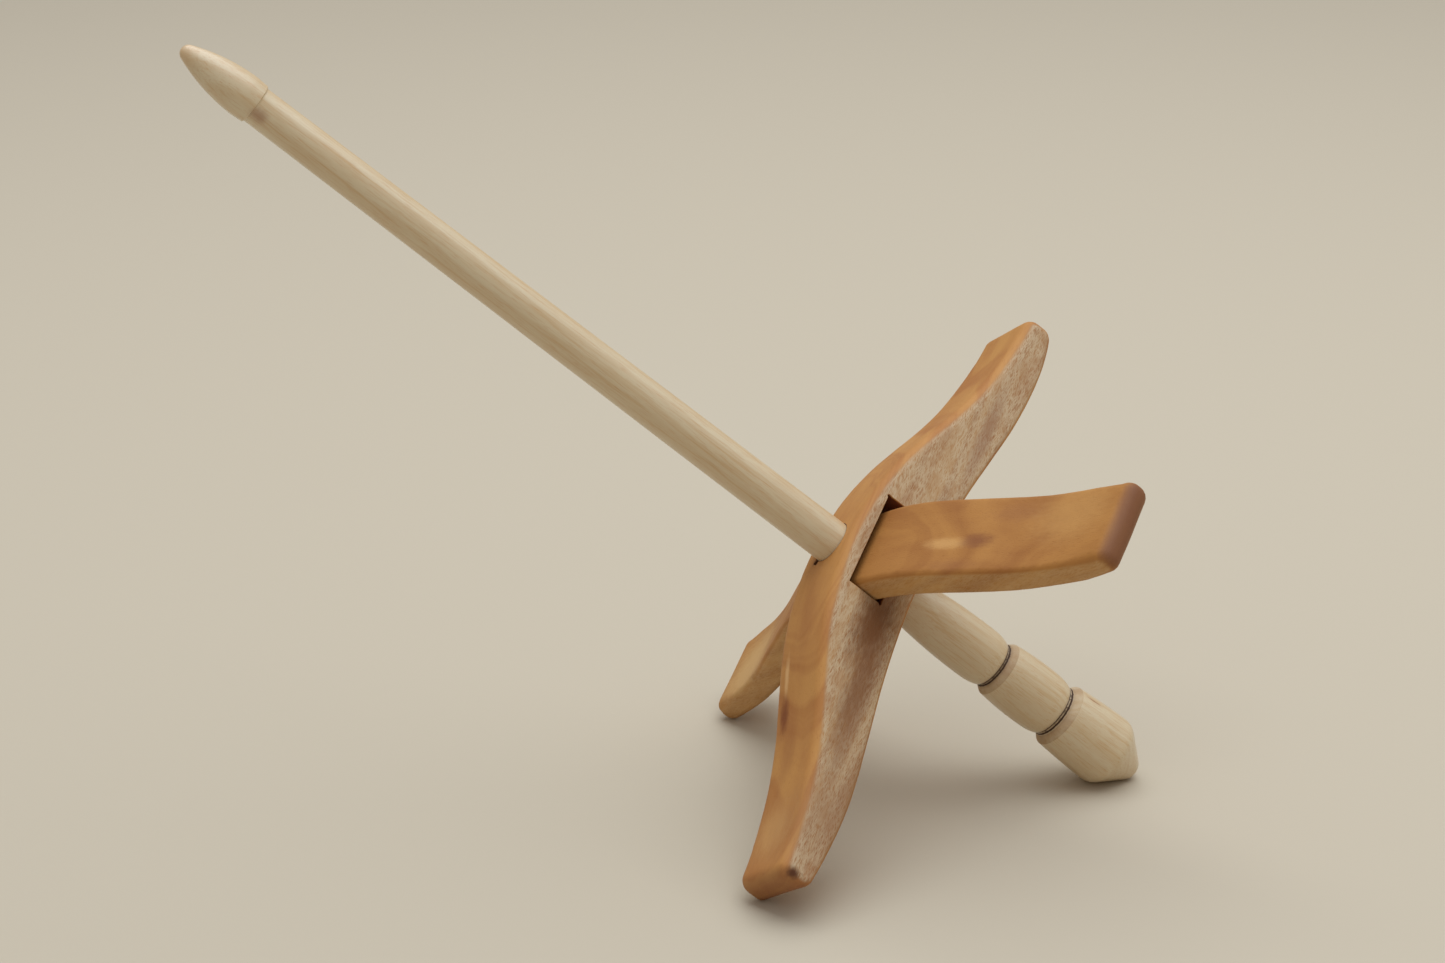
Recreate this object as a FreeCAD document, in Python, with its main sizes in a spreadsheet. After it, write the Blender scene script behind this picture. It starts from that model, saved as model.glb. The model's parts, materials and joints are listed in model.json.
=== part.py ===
import FreeCAD, Part
import math
import os
import Sketcher

# A Turkish drop spindle at rest on a table, in millimetres, +Z up.
#
# Each piece is modelled about the crossing, the point of the shaft's axis where the two arms cross:
# local Z is the shaft's axis, towards the bulb, and an arm's length lies along local X. The three
# pieces are then placed as the spindle lies: on the shaft's cone end and on one tip of each arm.

DIMENSIONS = [
    # shaft: heights are measured from the crossing along the axis, upwards
    ("tip_height", 147.4, "top of the bulb"),
    ("tip_radius", 1.3, "blunt end of the bulb"),
    ("tip_cap", 0.75, "how far the blunt end is domed"),
    ("bulb_radius", 3.75, "fullest part of the bulb"),
    ("bulb_length", 15.0, "from the tip to the hitch notch"),
    ("bulb_full_below_tip", 12.6, "fullest part, measured down from the tip"),
    ("bulb_bow_radius", 55.0, "bow of the bulb's side"),
    ("bulb_foot_step", 0.14, "how much the bulb's foot draws in before the notch"),
    ("neck_radius", 3.27, "hitch notch under the bulb"),
    ("waist_height", 40.0, "where the upper taper ends"),
    ("waist_radius", 3.8, "shaft at the waist"),
    ("seat_height", 8.0, "top of the land that carries the arms"),
    ("seat_radius", 3.95, "land that carries the arms"),
    ("swell_depth", 9.0, "where the swell starts, below the arms"),
    ("swell_bow_radius", 118.0, "bow of the swell"),
    ("barrel_rounding", 9.0, "radius that ends each barrel"),
    ("first_depth", 28.3, "full end of the first barrel"),
    ("first_radius", 5.18, "first barrel"),
    ("ring_one_depth", 31.7, "first burned ring"),
    ("ring_one_radius", 4.6, "shaft at the first ring"),
    ("collar_length", 1.1, "flare under a ring"),
    ("collar_flare", 0.8, "how much a collar gains in radius"),
    ("second_depth", 43.2, "full end of the second barrel"),
    ("second_radius", 5.75, "full end of the second barrel"),
    ("second_bow_radius", 62.0, "bow of the second barrel"),
    ("ring_two_depth", 46.6, "second burned ring"),
    ("ring_two_radius", 5.15, "shaft at the second ring"),
    ("third_flare", 1.05, "how much the second collar gains in radius"),
    ("third_depth", 58.6, "full end of the third barrel"),
    ("third_radius", 6.74, "third barrel"),
    ("third_bow_radius", 160.0, "bow of the third barrel"),
    ("nose_depth", 61.0, "where the end cone starts"),
    ("nose_radius", 5.98, "wide end of the end cone"),
    ("nose_rounding", 3.4, "radius between barrel and cone"),
    ("cone_depth", 65.9, "narrow end of the end cone"),
    ("cone_radius", 2.1, "narrow end of the end cone"),
    ("end_cap", 0.8, "how far the shaft's end is domed"),
    ("ring_width", 0.85, "burned groove"),
    ("ring_depth", 0.32, "burned groove"),
    # outer arm
    ("outer_half_length", 62.5, "crossing to tip"),
    ("outer_width", 15.0, "across the arm"),
    ("outer_top", 6.75, "top of the crown above the crossing"),
    ("outer_top_radius", 66.9, "crown, top side"),
    ("outer_top_ramp", 24.8, "crown ends, top side"),
    ("outer_top_turn", 32.2, "sweep starts, top side"),
    ("outer_top_sweep", 87.6, "sweep radius, top side"),
    ("outer_bottom", -9.16, "underside of the crown"),
    ("outer_bottom_radius", 157.7, "crown, underside"),
    ("outer_bottom_ramp", 26.9, "crown ends, underside"),
    ("outer_bottom_turn", 36.0, "sweep starts, underside"),
    ("outer_bottom_sweep", 78.0, "sweep radius, underside"),
    ("outer_tip_rounding", 2.4, "corner of the tip"),
    ("slot_length", 19.3, "along the outer arm"),
    ("slot_height", 7.2, "centred on the crossing"),
    ("slot_offset", 0.73, "slot's middle from the crossing, towards the raised tip"),
    # inner arm
    ("inner_half_length", 58.25, "crossing to tip"),
    ("inner_width", 17.2, "across the arm"),
    ("inner_top", 3.0, "top of the crown above the crossing"),
    ("inner_top_radius", 62.3, "crown, top side"),
    ("inner_top_ramp", 22.9, "crown ends, top side"),
    ("inner_top_turn", 34.7, "sweep starts, top side"),
    ("inner_top_sweep", 80.5, "sweep radius, top side"),
    ("inner_bottom", -2.67, "underside of the crown"),
    ("inner_bottom_radius", 50.8, "crown, underside"),
    ("inner_bottom_ramp", 18.0, "crown ends, underside"),
    ("inner_bottom_turn", 29.6, "sweep starts, underside"),
    ("inner_bottom_sweep", 96.3, "sweep radius, underside"),
    ("inner_tip_rounding", 1.9, "corner of the tip"),
    ("inner_rock", 1.6, "degrees that the loose inner arm rocks in its slot"),
    # both arms
    ("arm_edge_rounding", 1.4, "hand-sanded long edges"),
    ("outer_bore_radius", 4.03, "hole that fits the shaft's land"),
    ("inner_bore_radius", 4.15, "hole drilled one size larger"),
]

RING_OVERCUT = 0.3  # how far a ring's cutter starts outside the shaft, mm
SAME_PLACE = 0.01  # edges nearer than this to a face of the blank lie on it, mm
TABLE_SIZE = 500.0  # side of the flat table a piece is measured against, mm
SETTLING_ROUNDS = 12  # the table's slope stops changing well before this


def make_sheet(doc):
    """The spreadsheet that holds every driving dimension under its alias."""
    sheet = doc.addObject("Spreadsheet::Sheet", "dims")
    for row, (alias, value, meaning) in enumerate(DIMENSIONS, start=1):
        sheet.set(f"A{row}", alias.replace("_", " "))
        sheet.set(f"B{row}", str(value))
        sheet.set(f"C{row}", meaning)
        sheet.setAlias(f"B{row}", alias)
    doc.recompute()
    return sheet


def origin_plane(body, role):
    return next(item for item in body.Origin.OriginFeatures if item.Role == role)


def new_sketch(body, name, role):
    sketch = body.newObject("Sketcher::SketchObject", name)
    sketch.AttachmentSupport = [(origin_plane(body, role), "")]
    sketch.MapMode = "FlatFace"
    return sketch


def drive(sketch, name, expression, *constraint):
    """Add one named dimension to a sketch and bind it to the spreadsheet."""
    value = float(sketch.evalExpression(expression))
    index = sketch.addConstraint(Sketcher.Constraint(*constraint, value))
    sketch.renameConstraint(index, name)
    sketch.setExpression(f"Constraints.{name}", expression)


def arc_between(start, end, radius):
    """Arc from start to end that bulges to the right of the way there."""
    chord = end - start
    half = chord.Length / 2
    rise = radius - math.sqrt(radius * radius - half * half)
    outwards = FreeCAD.Vector(chord.y, -chord.x, 0).normalize()
    return Part.Arc(start, (start + end) / 2 + outwards * rise, end)


def turned_profile(sketch, corners):
    """Half outline of a turned piece, anticlockwise from its lowest point and closed along the axis.

    A corner is (name, radius, height, bow), each an expression: bow is the radius of the arc that
    bulges out from this corner to the next, or None for a straight line. A radius of None lies on the axis.
    """
    places = []
    for name, radius, height, bow in corners:
        across = float(sketch.evalExpression(radius)) if radius else 0.0
        places.append(FreeCAD.Vector(across, float(sketch.evalExpression(height)), 0))
    count = len(corners)
    for index in range(count):
        start = places[index]
        end = places[(index + 1) % count]
        bow = corners[index][3]
        if bow is None:
            sketch.addGeometry(Part.LineSegment(start, end))
        else:
            sketch.addGeometry(arc_between(start, end, float(sketch.evalExpression(bow))))
    for index in range(count):
        sketch.addConstraint(Sketcher.Constraint("Coincident", index, 2, (index + 1) % count, 1))
        name, radius, height, bow = corners[index]
        if radius:
            drive(sketch, name + "_out", radius, "DistanceX", -1, 1, index, 1)
        else:
            sketch.addConstraint(Sketcher.Constraint("PointOnObject", index, 1, -2))
        drive(sketch, name + "_up", height, "DistanceY", -1, 1, index, 1)
        if bow is not None:
            drive(sketch, name + "_bow", bow, "Radius", index)


def make_shaft(doc):
    """The turned stick: bulb, hitch notch, taper, seat, swell and three-barrel finial."""
    body = doc.addObject("PartDesign::Body", "shaft")
    profile = new_sketch(body, "shaft_profile", "XZ_Plane")
    notch = "dims.tip_height - dims.bulb_length"
    full = "dims.tip_height - dims.bulb_full_below_tip"
    above_one = "-dims.ring_one_depth + dims.ring_width / 2"
    below_one = "-dims.ring_one_depth - dims.ring_width / 2"
    above_two = "-dims.ring_two_depth + dims.ring_width / 2"
    below_two = "-dims.ring_two_depth - dims.ring_width / 2"
    end_dome = "(dims.cone_radius ^ 2 + dims.end_cap ^ 2) / (2 * dims.end_cap)"
    tip_dome = "(dims.tip_radius ^ 2 + dims.tip_cap ^ 2) / (2 * dims.tip_cap)"
    turned_profile(profile, [
        ("end", None, "-dims.cone_depth - dims.end_cap", end_dome),
        ("cone", "dims.cone_radius", "-dims.cone_depth", None),
        ("nose", "dims.nose_radius", "-dims.nose_depth", "dims.nose_rounding"),
        ("third", "dims.third_radius", "-dims.third_depth", "dims.third_bow_radius"),
        ("collar_two", "dims.ring_two_radius + dims.third_flare", below_two + " - dims.collar_length", None),
        ("below_two", "dims.ring_two_radius", below_two, None),
        ("above_two", "dims.ring_two_radius", above_two, "dims.barrel_rounding"),
        ("second", "dims.second_radius", "-dims.second_depth", "dims.second_bow_radius"),
        ("collar_one", "dims.ring_one_radius + dims.collar_flare", below_one + " - dims.collar_length", None),
        ("below_one", "dims.ring_one_radius", below_one, None),
        ("above_one", "dims.ring_one_radius", above_one, "dims.barrel_rounding"),
        ("first", "dims.first_radius", "-dims.first_depth", "dims.swell_bow_radius"),
        ("swell", "dims.seat_radius", "-dims.swell_depth", None),
        ("seat", "dims.seat_radius", "dims.seat_height", None),
        ("waist", "dims.waist_radius", "dims.waist_height", None),
        ("neck", "dims.neck_radius", notch, None),
        ("bulb_foot", "dims.bulb_radius - dims.bulb_foot_step", notch + " + dims.bulb_foot_step", None),
        ("bulb", "dims.bulb_radius", full, "dims.bulb_bow_radius"),
        ("tip_side", "dims.tip_radius", "dims.tip_height - dims.tip_cap", tip_dome),
        ("tip", None, "dims.tip_height", None),
    ])
    turning = body.newObject("PartDesign::Revolution", "turning")
    turning.Profile = profile
    turning.ReferenceAxis = (profile, ["V_Axis"])
    turning.Angle = 360
    for name, depth, radius in (("one", "ring_one_depth", "ring_one_radius"),
                                ("two", "ring_two_depth", "ring_two_radius")):
        cut_ring(body, name, "dims." + depth, "dims." + radius)
    return body


def cut_ring(body, name, depth, radius):
    """One burned ring: a shallow groove with a V section round the shaft."""
    section = new_sketch(body, f"ring_{name}_section", "XZ_Plane")
    turned = [
        ("bottom", radius + " - dims.ring_depth", f"-{depth}"),
        ("low", f"{radius} + {RING_OVERCUT}", f"-{depth} - dims.ring_width / 2"),
        ("high", f"{radius} + {RING_OVERCUT}", f"-{depth} + dims.ring_width / 2"),
    ]
    places = [FreeCAD.Vector(float(section.evalExpression(out)), float(section.evalExpression(up)), 0)
              for _, out, up in turned]
    for index in range(3):
        section.addGeometry(Part.LineSegment(places[index], places[(index + 1) % 3]))
    for index, (corner, out, up) in enumerate(turned):
        section.addConstraint(Sketcher.Constraint("Coincident", index, 2, (index + 1) % 3, 1))
        drive(section, corner + "_out", out, "DistanceX", -1, 1, index, 1)
        drive(section, corner + "_up", up, "DistanceY", -1, 1, index, 1)
    groove = body.newObject("PartDesign::Groove", f"ring_{name}")
    groove.Profile = section
    groove.ReferenceAxis = (section, ["V_Axis"])
    groove.Angle = 360


def bowed_side(sketch, arm, side):
    """One long side of an arm: crown, two straight ramps and two sweeps, each tangent to the next.

    Returns the indices of the left and the right sweep, whose outer ends lie at the arm's tips.
    """
    def size(name):
        return float(sketch.evalExpression(f"dims.{name}"))

    stem = f"{arm}_{side}"
    top = size(stem)
    crown_radius = size(stem + "_radius")
    ramp = size(stem + "_ramp")
    turn = size(stem + "_turn")
    sweep_radius = size(stem + "_sweep")
    reach = size(arm + "_half_length")

    slope = math.asin(ramp / crown_radius)
    ramp_height = top - crown_radius * (1 - math.cos(slope))
    turn_height = ramp_height - (turn - ramp) * math.tan(slope)
    sweep_middle = FreeCAD.Vector(turn + sweep_radius * math.sin(slope),
                                  turn_height + sweep_radius * math.cos(slope), 0)

    def on_sweep(across):
        drop = math.sqrt(sweep_radius ** 2 - (across - sweep_middle.x) ** 2)
        return FreeCAD.Vector(across, sweep_middle.y - drop, 0)

    def mirrored(point):
        return FreeCAD.Vector(-point.x, point.y, 0)

    ramp_start = FreeCAD.Vector(ramp, ramp_height, 0)
    ramp_end = FreeCAD.Vector(turn, turn_height, 0)
    halfway = on_sweep((turn + reach) / 2)
    tip = on_sweep(reach)
    crown = sketch.addGeometry(Part.Arc(mirrored(ramp_start), FreeCAD.Vector(0, top, 0), ramp_start))
    ramps = [sketch.addGeometry(Part.LineSegment(ramp_start, ramp_end)),
             sketch.addGeometry(Part.LineSegment(mirrored(ramp_start), mirrored(ramp_end)))]
    sweeps = [sketch.addGeometry(Part.Arc(ramp_end, halfway, tip)),
              sketch.addGeometry(Part.Arc(mirrored(tip), mirrored(halfway), mirrored(ramp_end)))]

    # A Part.Arc runs anticlockwise in the sketch, so its first point is found by its place.
    def near_point(index, place):
        first = sketch.getPoint(index, 1)
        return 1 if first.distanceToPoint(place) < sketch.getPoint(index, 2).distanceToPoint(place) else 2

    join = []
    for line, sweep, sign in ((ramps[0], sweeps[0], 1), (ramps[1], sweeps[1], -1)):
        inner = FreeCAD.Vector(sign * ramp_start.x, ramp_start.y, 0)
        outer = FreeCAD.Vector(sign * ramp_end.x, ramp_end.y, 0)
        sketch.addConstraint(Sketcher.Constraint("Tangent", crown, near_point(crown, inner), line, 1))
        sketch.addConstraint(Sketcher.Constraint("Tangent", line, 2, sweep, near_point(sweep, outer)))
        join.append((sweep, 3 - near_point(sweep, outer)))
    sketch.addConstraint(Sketcher.Constraint("PointOnObject", crown, 3, -2))
    drive(sketch, stem + "_crown", f"dims.{stem}_radius", "Radius", crown)
    drive(sketch, stem + "_middle", f"dims.{stem} - dims.{stem}_radius", "DistanceY", -1, 1, crown, 3)
    drive(sketch, stem + "_ramp_right", f"dims.{stem}_ramp", "DistanceX", -1, 1, ramps[0], 1)
    drive(sketch, stem + "_ramp_left", f"dims.{stem}_ramp", "DistanceX", ramps[1], 1, -1, 1)
    drive(sketch, stem + "_turn_right", f"dims.{stem}_turn", "DistanceX", -1, 1, ramps[0], 2)
    drive(sketch, stem + "_turn_left", f"dims.{stem}_turn", "DistanceX", ramps[1], 2, -1, 1)
    drive(sketch, stem + "_sweep_right", f"dims.{stem}_sweep", "Radius", sweeps[0])
    sketch.addConstraint(Sketcher.Constraint("Equal", sweeps[0], sweeps[1]))
    return join[1], join[0]


def edges_where(shape, test):
    return [f"Edge{number}" for number, edge in enumerate(shape.Edges, start=1) if test(edge)]


def add_fillet(body, base, name, radius, test):
    fillet = body.newObject("PartDesign::Fillet", name)
    fillet.Base = (base, edges_where(base.Shape, test))
    fillet.setExpression("Radius", f"dims.{radius}")
    body.Document.recompute()
    return fillet


def cut_through(body, name, sketch):
    """Pocket a sketch through the whole piece, both ways from the sketch's plane."""
    before = body.Shape.Volume
    pocket = body.newObject("PartDesign::Pocket", name)
    pocket.Profile = sketch
    pocket.Type = "ThroughAll"
    pocket.SideType = "Symmetric"
    body.Document.recompute()
    if body.Shape.Volume >= before:
        raise RuntimeError(f"{name} removes nothing")
    return pocket


def make_arm(doc, arm):
    """A bowed blank with rounded tips and sanded edges, before its slot and its hole."""
    body = doc.addObject("PartDesign::Body", f"{arm}_arm")
    outline = new_sketch(body, f"{arm}_outline", "XZ_Plane")
    top_ends = bowed_side(outline, arm, "top")
    bottom_ends = bowed_side(outline, arm, "bottom")
    for side, upper, lower in (("left", top_ends[0], bottom_ends[0]), ("right", top_ends[1], bottom_ends[1])):
        end = outline.addGeometry(Part.LineSegment(outline.getPoint(*upper), outline.getPoint(*lower)))
        outline.addConstraint(Sketcher.Constraint("Coincident", end, 1, *upper))
        outline.addConstraint(Sketcher.Constraint("Coincident", end, 2, *lower))
        outline.addConstraint(Sketcher.Constraint("Vertical", end))
        reach = (end, 1, -1, 1) if side == "left" else (-1, 1, end, 1)
        drive(outline, f"{side}_reach", f"dims.{arm}_half_length", "DistanceX", *reach)
    blank = body.newObject("PartDesign::Pad", f"{arm}_blank")
    blank.Profile = outline
    blank.SideType = "Symmetric"
    blank.setExpression("Length", f"dims.{arm}_width")
    doc.recompute()

    reach = float(blank.evalExpression(f"dims.{arm}_half_length"))
    half_width = float(blank.evalExpression(f"dims.{arm}_width")) / 2

    def tip_corner(edge):
        box = edge.BoundBox
        return box.YLength > half_width and abs(abs(box.Center.x) - reach) < SAME_PLACE

    def long_edge(edge):
        box = edge.BoundBox
        return box.YLength < SAME_PLACE and abs(abs(box.Center.y) - half_width) < SAME_PLACE

    tips = add_fillet(body, blank, f"{arm}_tips", f"{arm}_tip_rounding", tip_corner)
    add_fillet(body, tips, f"{arm}_edges", "arm_edge_rounding", long_edge)
    return body


def bore_arm(body, arm):
    """The round hole for the shaft, through the arm's middle."""
    circle = new_sketch(body, f"{arm}_bore_circle", "XY_Plane")
    radius = float(circle.evalExpression(f"dims.{arm}_bore_radius"))
    circle.addGeometry(Part.Circle(FreeCAD.Vector(), FreeCAD.Vector(0, 0, 1), radius))
    circle.addConstraint(Sketcher.Constraint("Coincident", 0, 3, -1, 1))
    drive(circle, "bore", f"dims.{arm}_bore_radius", "Radius", 0)
    cut_through(body, f"{arm}_bore", circle)


def make_outer_arm(doc):
    """The deeper arm, with the rectangular slot that the inner arm passes through."""
    body = make_arm(doc, "outer")
    window = new_sketch(body, "slot_window", "XZ_Plane")
    length = float(window.evalExpression("dims.slot_length"))
    height = float(window.evalExpression("dims.slot_height"))
    middle = float(window.evalExpression("dims.slot_offset"))
    corners = [FreeCAD.Vector(middle + across * length / 2, up * height / 2, 0)
               for across, up in ((-1, -1), (1, -1), (1, 1), (-1, 1))]
    for index in range(4):
        window.addGeometry(Part.LineSegment(corners[index], corners[(index + 1) % 4]))
    for index in range(4):
        window.addConstraint(Sketcher.Constraint("Coincident", index, 2, (index + 1) % 4, 1))
        window.addConstraint(Sketcher.Constraint("Horizontal" if index % 2 == 0 else "Vertical", index))
    drive(window, "right_end", "dims.slot_offset + dims.slot_length / 2", "DistanceX", -1, 1, 1, 1)
    drive(window, "floor", "dims.slot_height / 2", "DistanceY", 1, 1, -1, 1)
    drive(window, "length", "dims.slot_length", "DistanceX", 0, 1, 0, 2)
    drive(window, "height", "dims.slot_height", "DistanceY", 1, 1, 1, 2)
    cut_through(body, "slot", window)
    bore_arm(body, "outer")
    return body


def make_inner_arm(doc):
    """The thinner arm, which passes through the outer arm's slot."""
    body = make_arm(doc, "inner")
    bore_arm(body, "inner")
    return body


def lowest_point(shape, up):
    """The point of a shape that a flat table with this upward normal would touch first."""
    corner = FreeCAD.Vector(-TABLE_SIZE / 2, -TABLE_SIZE / 2, 0)
    table = Part.makePlane(TABLE_SIZE, TABLE_SIZE, corner)
    turn = FreeCAD.Rotation(FreeCAD.Vector(0, 0, 1), up)
    table.Placement = FreeCAD.Placement(up * -TABLE_SIZE / 2, turn)
    return table.distToShape(shape)[1][0][1]


def resting_pose(shaft, outer, inner):
    """Placement that stands the spindle on the shaft's end and on one tip of each arm."""
    up = FreeCAD.Vector(1, 1, 1).normalize()
    for _ in range(SETTLING_ROUNDS):
        foot, outer_tip, inner_tip = [lowest_point(shape, up) for shape in (shaft, outer, inner)]
        up = (inner_tip - foot).cross(outer_tip - foot).normalize()
        if up.z < 0:
            up = up * -1
    lean = FreeCAD.Vector(0, 0, 1) - up * up.z
    left = lean.normalize() * -1
    back = up.cross(left)
    turn = FreeCAD.Rotation(left, back, up, "ZXY")
    return FreeCAD.Placement(FreeCAD.Vector(), turn.inverted()), foot


def place_pieces(doc, sheet, shaft, outer_arm, inner_arm):
    """Cross the arms on the shaft, lay the spindle down and centre it over the origin."""
    quarter = FreeCAD.Rotation(FreeCAD.Vector(0, 0, 1), 90)
    rock = FreeCAD.Rotation(FreeCAD.Vector(0, 1, 0), sheet.inner_rock)
    middle = FreeCAD.Vector(0, 0, (sheet.inner_top + sheet.inner_bottom) / 2)
    crossing = {
        shaft: FreeCAD.Placement(),
        outer_arm: FreeCAD.Placement(FreeCAD.Vector(), quarter),
        inner_arm: FreeCAD.Placement(middle - rock.multVec(middle), rock),
    }
    for piece, placement in crossing.items():
        piece.Placement = placement
    doc.recompute()
    pose, foot = resting_pose(shaft.Shape, outer_arm.Shape, inner_arm.Shape)
    for piece, placement in crossing.items():
        piece.Placement = pose.multiply(placement)
    doc.recompute()
    box = Part.makeCompound([piece.Shape for piece in crossing]).optimalBoundingBox(False, False)
    shift = FreeCAD.Vector(-box.Center.x, -box.Center.y, -box.ZMin)
    for piece in crossing:
        piece.Placement = FreeCAD.Placement(shift, FreeCAD.Rotation()).multiply(piece.Placement)
    doc.recompute()


def check_document(doc, bodies):
    for item in doc.Objects:
        if "Invalid" in item.State or "Error" in item.State:
            raise RuntimeError(f"{item.Name} is {item.State}")
        if item.TypeId == "Sketcher::SketchObject" and not item.FullyConstrained:
            raise RuntimeError(f"{item.Name} has free dimensions")
    for body in bodies:
        if body.Shape.isNull() or not body.Shape.isValid() or len(body.Shape.Solids) != 1:
            raise RuntimeError(f"{body.Label} isn't one valid solid")


def main():
    doc = FreeCAD.newDocument("DropSpindle")
    sheet = make_sheet(doc)
    shaft = make_shaft(doc)
    outer_arm = make_outer_arm(doc)
    inner_arm = make_inner_arm(doc)
    doc.recompute()
    place_pieces(doc, sheet, shaft, outer_arm, inner_arm)

    bodies = [shaft, outer_arm, inner_arm]
    check_document(doc, bodies)
    os.makedirs("parts", exist_ok=True)
    for body in bodies:
        body.Shape.exportStep(f"parts/{body.Label}.step")
        print(body.Label, "volume", round(body.Shape.Volume, 1), body.Placement)


main()
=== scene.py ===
"""Turkish drop spindle: a turned maple shaft through two bowed cherry arms.

Every piece is modelled in millimetres about the crossing, the point where the arms cross on the
shaft's axis: local Z runs up the shaft to its bulb and an arm's length lies along local X. The
pieces are then laid on the table in the place that the frame's joints give.
"""
import json
import math

import bmesh
import bpy
from bpy.props import FloatProperty, FloatVectorProperty, IntProperty, PointerProperty
from mathutils import Matrix, Vector, noise


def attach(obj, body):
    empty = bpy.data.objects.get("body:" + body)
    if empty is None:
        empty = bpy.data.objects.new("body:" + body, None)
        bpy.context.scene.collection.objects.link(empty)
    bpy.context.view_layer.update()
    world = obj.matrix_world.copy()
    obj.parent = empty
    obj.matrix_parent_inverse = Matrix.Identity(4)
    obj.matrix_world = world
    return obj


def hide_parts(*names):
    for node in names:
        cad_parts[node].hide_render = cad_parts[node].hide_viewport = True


bl_info = {
    "name": "Turkish Drop Spindle",
    "version": (1, 0, 0),
    "blender": (4, 5, 0),
    "location": "View3D > Sidebar > Spindle",
    "description": "A turned maple shaft with two crossed cherry arms, resting on a table",
    "category": "Add Mesh",
}

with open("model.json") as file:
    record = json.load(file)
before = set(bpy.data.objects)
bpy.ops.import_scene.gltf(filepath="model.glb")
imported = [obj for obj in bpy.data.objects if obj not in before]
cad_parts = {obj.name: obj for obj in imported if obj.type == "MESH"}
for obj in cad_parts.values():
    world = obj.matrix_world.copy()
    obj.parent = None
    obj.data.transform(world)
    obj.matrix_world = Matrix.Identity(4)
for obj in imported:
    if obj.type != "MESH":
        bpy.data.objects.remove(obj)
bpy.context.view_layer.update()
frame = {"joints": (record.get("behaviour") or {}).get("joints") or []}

MM = 0.001
JOINTS = {joint["name"]: joint for joint in frame["joints"]}
SHAFT_AXIS = Vector(JOINTS["arms_slide"]["axis"]).normalized()
CROSSING = Vector(JOINTS["inner_arm_swivel"]["pos_m"])

# How the arms are turned on the shaft and how far the loose inner arm rocks in its slot, in degrees.
ARMS_TURN = -44.5483
INNER_ROCK = 1.6

# Shaft: (height, radius, bow to the next corner or None, softening of this corner), in millimetres.
SHAFT_CORNERS = [
    (-65.9, 2.1, None, 0.0),
    (-61.0, 5.98, 3.4, 0.3),
    (-58.6, 6.74, 160.0, 0.2),
    (-48.125, 6.2, None, 0.12),
    (-47.025, 5.15, None, 0.1),
    (-46.72, 5.13, None, 0.05),
    (-46.56, 4.92, None, 0.0),
    (-46.42, 5.08, None, 0.03),
    (-46.28, 5.09, None, 0.03),
    (-46.14, 4.95, None, 0.0),
    (-46.0, 5.2, 9.0, 0.05),
    (-43.2, 5.75, 62.0, 0.8),
    (-33.225, 5.4, None, 0.12),
    (-32.125, 4.6, None, 0.0),
    (-31.98, 4.46, None, 0.0),
    (-31.86, 4.32, None, 0.0),
    (-31.74, 4.43, None, 0.0),
    (-31.66, 4.43, None, 0.0),
    (-31.54, 4.32, None, 0.0),
    (-31.42, 4.46, None, 0.0),
    (-31.275, 4.6, 9.0, 0.1),
    (-28.3, 5.18, 118.0, 0.8),
    (-9.0, 3.95, None, 1.0),
    (8.0, 3.95, None, 1.0),
    (40.0, 3.8, None, 2.0),
    (132.4, 3.27, None, 0.1),
    (132.54, 3.61, None, 0.1),
    (134.8, 3.75, 32.0, 0.6),
    (146.65, 1.3, None, 0.0),
]
SHAFT_END_DOME = 0.8
SHAFT_TIP_DOME = 0.75

# How finely the shaft's outline is drawn, with the length of a straight run's steps in millimetres.
ARC_STEPS = 22
BULB_STEPS = 24
RUN_STEP = 1.2
MOST_STEPS = 24
CORNER_STEPS = 4
DOME_RINGS = 5
CORNER_SHARE = 0.45

# Arms: a long side is (height of the crown, its radius, where it ends, where the sweep starts, its radius),
# and ripple is how unevenly the near upper edge was cut, as a part of its rounding.
OUTER = {
    "reach": 62.5, "tip": 2.4, "ripple": 0.04,
    "top": (6.75, 66.9, 24.8, 32.2, 87.6),
    "bottom": (-9.16, 157.7, 26.9, 36.0, 78.0),
}
INNER = {
    "reach": 58.25, "tip": 2.3, "ripple": 0.32,
    "top": (3.0, 62.3, 22.9, 34.7, 80.5),
    "bottom": (-2.67, 50.8, 18.0, 29.6, 96.3),
}
SLOT_MIDDLE = 0.73

# Hand sanding, in millimetres: where it starts from the crossing and fades in, how far a tip's rounder
# edges reach, how much the rounding grows and wanders as a part of its size, and how deep the waves are.
FIT_END = 13.0
FADE_LENGTH = 8.0
TIP_ZONE = 8.0
TIP_GROWTH = 0.9
EDGE_WANDER = 0.22
EVEN_RIPPLE = 0.04
BROAD_WAVE = 0.09
FINE_WAVE = 0.025

# Steps round an arm's long edges and across the band between them.
EDGE_STEPS = 6
BAND_STEPS = 10

# Cutters, in millimetres: how far they run past the wood, how their mouths are chamfered, the chip that
# broke out beside the outer arm's hole, its turn about the shaft in degrees, and how near points are welded.
CUTTER_BEYOND = 2.5
SLOT_CHAMFER = 0.1
HOLE_CHAMFER = 0.14
CHIP_OUTLINE = [(0, 0), (1.25, 0.1), (1.0, 1.1), (0.1, 1.0)]
CHIP_LAYERS = [(5.3, -0.02), (8.0, 0.3)]
CHIP_OUT = 3.75
CHIP_TURN = 140
WELD = 0.0005

# Angles between faces, in degrees, past which an edge looks crisp.
SHAFT_CREASE = 38
ARM_CREASE = 32


# --- sizes and colours that a user would change ---

def colour_property(name, description, default):
    return FloatVectorProperty(name=name, description=description, default=default,
                               subtype="COLOR", size=3, min=0.0, max=1.0)


def length_property(name, description, default):
    return FloatProperty(name=name, description=description, default=default, min=0.0,
                         unit="LENGTH", subtype="DISTANCE", precision=5)


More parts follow.
